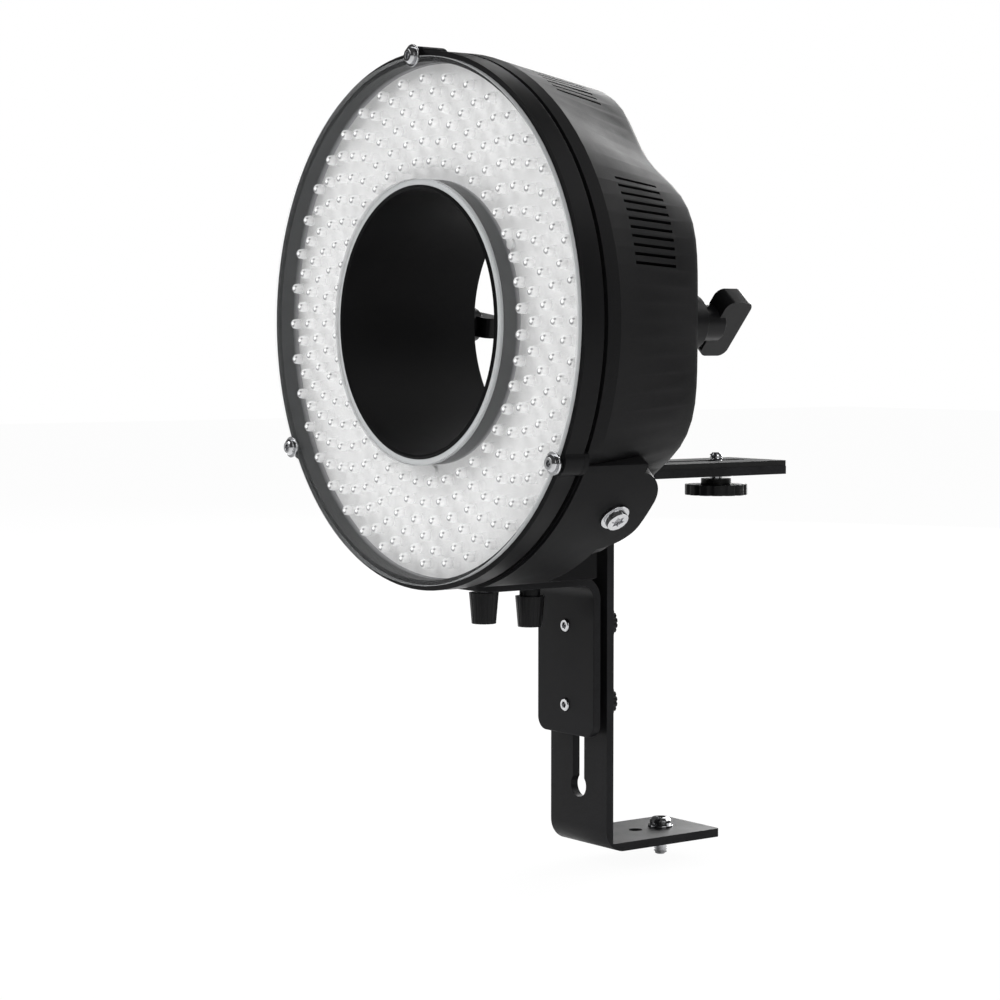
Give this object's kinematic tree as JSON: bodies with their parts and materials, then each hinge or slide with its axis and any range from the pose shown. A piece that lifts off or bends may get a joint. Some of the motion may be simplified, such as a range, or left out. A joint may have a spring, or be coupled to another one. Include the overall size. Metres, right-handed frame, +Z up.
{
  "type": "led ring light",
  "caption": "Ring of small lamps behind a clear face plate, on a bent bracket with a height slot, a foot for a light stand and a padded plate with a camera screw.",
  "frame": {"origin": "underside of the foot, on the axis of the screw that holds it to a stand", "axes": "+Z up, lamps facing -Y, camera plate towards +Y, +X to the right seen from the front"},
  "size_m": [0.2344, 0.206, 0.3717],
  "materials": {
    "black_powder_coat": "satin",
    "black_abs": "matt moulded grain",
    "bezel_abs": "semi-gloss",
    "grey_abs": "semi-gloss",
    "clear_acrylic": "polished, clear",
    "lamp_epoxy": "water-clear epoxy over a white lead frame",
    "board_white": "white solder mask",
    "board_green": "green solder mask",
    "chrome_steel": "bright",
    "zinc_steel": "satin",
    "black_knob": "satin moulded",
    "brass": "turned",
    "aluminium": "satin",
    "rubber": "matt",
    "component_body": "satin"
  },
  "bodies": {
    "stand": {"stand_bracket": "black_powder_coat", "camera_pad": "rubber", "stand_washer": "chrome_steel", "stand_screw": "chrome_steel"},
    "head": {"base_cradle": "black_abs", "base_inserts": "brass", "base_washers": "black_powder_coat", "board_posts": "black_abs", "board_screws": "zinc_steel", "bore_tube": "black_abs", "clamp_spacers": "zinc_steel", "clamp_washers": "zinc_steel", "cradle_bolts": "chrome_steel", "dimmer_body": "zinc_steel", "driver_board": "board_green", "driver_components": "component_body", "driver_posts": "black_abs", "face_plate": "clear_acrylic", "face_screws": "chrome_steel", "face_washers": "chrome_steel", "front_bezel": "bezel_abs", "heat_spreader": "aluminium", "housing_inserts": "brass", "l_bracket": "black_powder_coat", "lamp_board": "board_white", "lamps": "lamp_epoxy", "power_inlet": "black_abs", "rear_housing": "black_abs", "rocker_frame": "black_abs", "sleeve_ring": "grey_abs"},
    "base_knob_front": {"base_knob_front": "black_knob", "base_stud_front": "chrome_steel"},
    "base_knob_rear": {"base_knob_rear": "black_knob", "base_stud_rear": "chrome_steel"},
    "clamp_knob_upper": {"clamp_knob_upper": "black_knob", "clamp_stud_upper": "chrome_steel"},
    "clamp_knob_lower": {"clamp_knob_lower": "black_knob", "clamp_stud_lower": "chrome_steel"},
    "wing_screw_left": {"wing_screw_left": "black_knob", "wing_stud_left": "zinc_steel"},
    "wing_screw_right": {"wing_screw_right": "black_knob", "wing_stud_right": "zinc_steel"},
    "camera_carriage": {"camera_slide_washer": "chrome_steel"},
    "camera_screw": {"camera_knob": "black_knob", "camera_stud": "chrome_steel"},
    "dimmer": {"dimmer_knob": "black_knob"},
    "rocker": {"power_rocker": "black_knob"}
  },
  "joints": [
    {"name": "head_slide", "type": "slide", "parent": "stand", "child": "head", "axis": [0, 0, 1], "range_m": [-0.036, 0.024]},
    {"name": "base_knob_front_turn", "type": "hinge", "parent": "head", "child": "base_knob_front", "pos_m": [0, -0.1039, 0.1148], "axis": [0, 0, 1], "continuous": true},
    {"name": "base_knob_rear_turn", "type": "hinge", "parent": "head", "child": "base_knob_rear", "pos_m": [0, -0.078, 0.1118], "axis": [0, 0, 1], "continuous": true},
    {"name": "clamp_knob_upper_turn", "type": "hinge", "parent": "head", "child": "clamp_knob_upper", "pos_m": [0, -0.042, 0.1036], "axis": [0, 1, 0], "continuous": true},
    {"name": "clamp_knob_lower_turn", "type": "hinge", "parent": "head", "child": "clamp_knob_lower", "pos_m": [0, -0.042, 0.067], "axis": [0, 1, 0], "continuous": true},
    {"name": "wing_screw_left_turn", "type": "hinge", "parent": "head", "child": "wing_screw_left", "pos_m": [-0.088, -0.052, 0.2418], "axis": [0, 1, 0], "continuous": true},
    {"name": "wing_screw_right_turn", "type": "hinge", "parent": "head", "child": "wing_screw_right", "pos_m": [0.088, -0.052, 0.2418], "axis": [0, 1, 0], "continuous": true},
    {"name": "camera_carriage_slide", "type": "slide", "parent": "stand", "child": "camera_carriage", "axis": [0, 1, 0], "range_m": [-0.053, 0.013]},
    {"name": "camera_screw_turn", "type": "hinge", "parent": "camera_carriage", "child": "camera_screw", "pos_m": [0, 0.034, 0.1638], "axis": [0, 0, 1], "continuous": true},
    {"name": "dimmer_turn", "type": "hinge", "parent": "head", "child": "dimmer", "pos_m": [-0.05657, -0.062, 0.29837], "axis": [0, 1, 0], "range_deg": [0, 280]},
    {"name": "rocker_tilt", "type": "hinge", "parent": "head", "child": "rocker", "pos_m": [0.05657, -0.067, 0.29837], "axis": [1, 0, 0], "range_deg": [-8, 8]}
  ]
}
